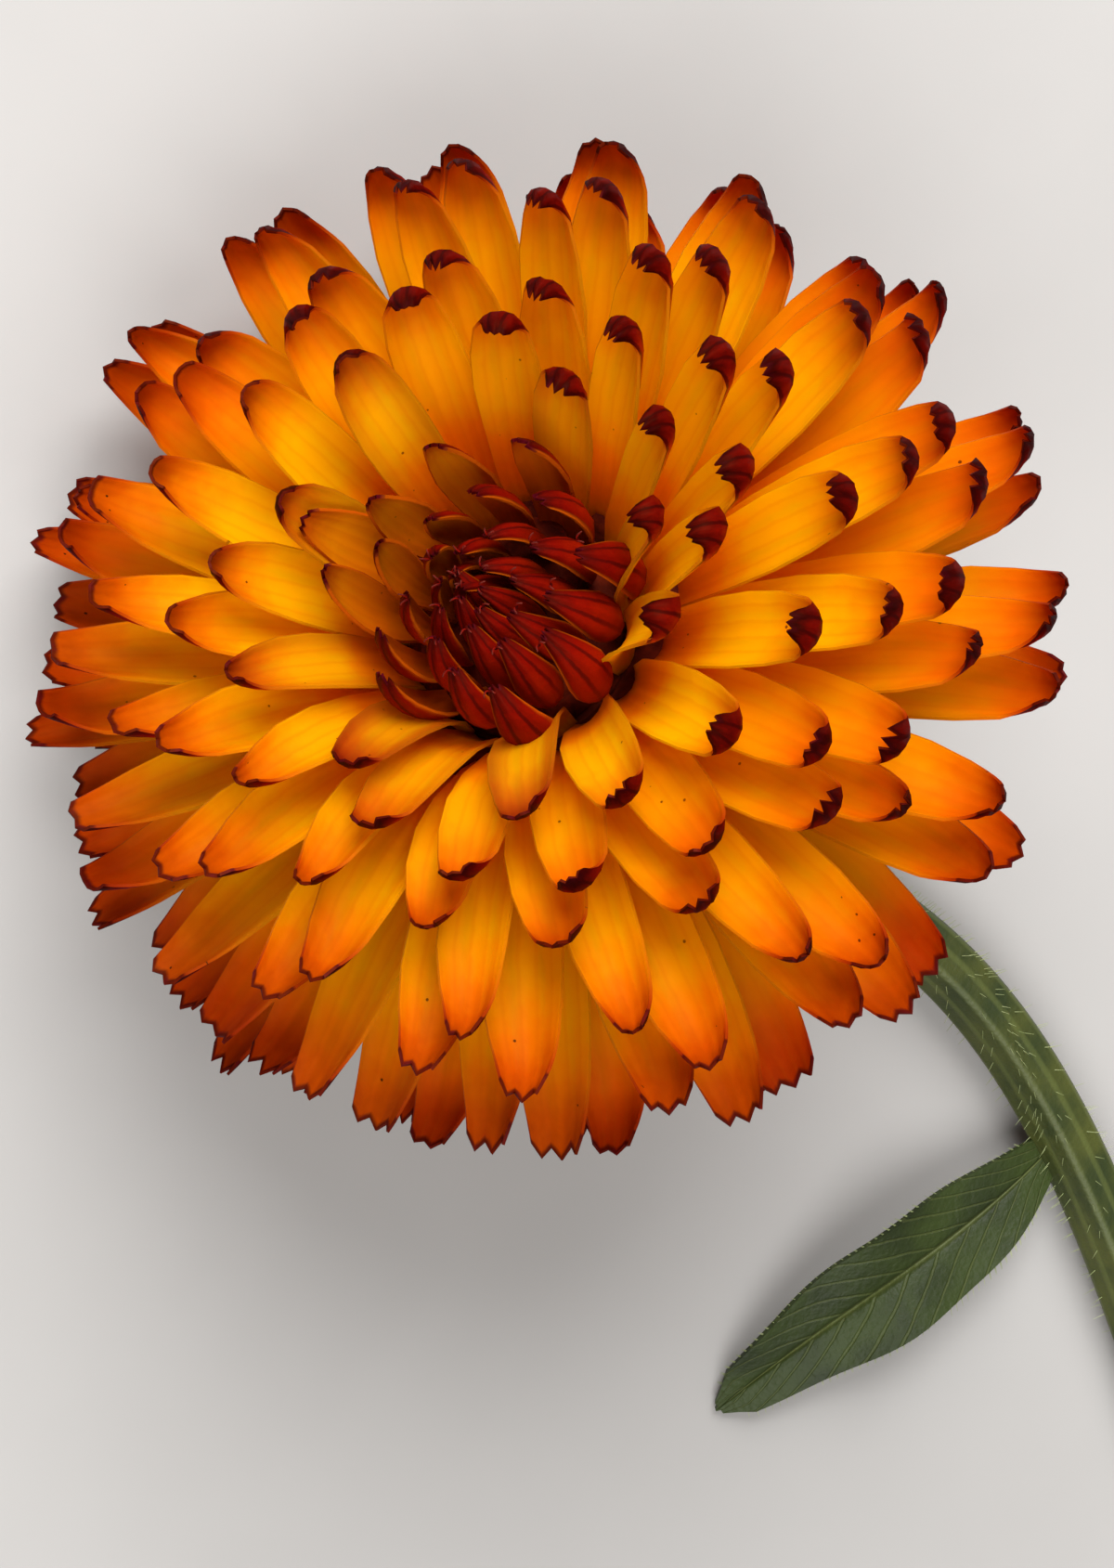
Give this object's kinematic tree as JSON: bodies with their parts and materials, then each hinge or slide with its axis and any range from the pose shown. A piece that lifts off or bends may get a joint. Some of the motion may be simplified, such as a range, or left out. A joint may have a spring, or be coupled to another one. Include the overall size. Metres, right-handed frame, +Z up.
{
  "type": "double pot marigold flower",
  "caption": "Picked double pot marigold lying on its side: domed orange head of toothed florets, dark crimson middle, bent green stem and one leaf.",
  "frame": {"origin": "bottom centre of the whole flower as it lies, on the surface", "axes": "+Z up from the surface, +Y from the head along the lying stem, the face looks towards -Y and up"},
  "size_m": [0.0652, 0.1212, 0.0474],
  "materials": {
    "ray_petal": "thin satin petals, yellow-orange inside with faint lengthwise veins, dark crimson rims, teeth and backs, light shining through",
    "middle_petal": "satin closed florets, deep crimson with darker lengthwise stripes, thin orange margins and small purple-pink tips",
    "bract_green": "matte green bracts with a paler midrib, short hairs and darker tips",
    "stem_green": "ribbed olive green stem with short fine hairs and a paler cut end",
    "leaf_green": "matte dark green leaf with a pale midrib, side veins and short hairs"
  },
  "bodies": {
    "root": {"ray_florets": "ray_petal", "middle_florets": "middle_petal", "bract_cup": "bract_green", "stem": "stem_green", "stem_leaf": "leaf_green"}
  },
  "joints": []
}
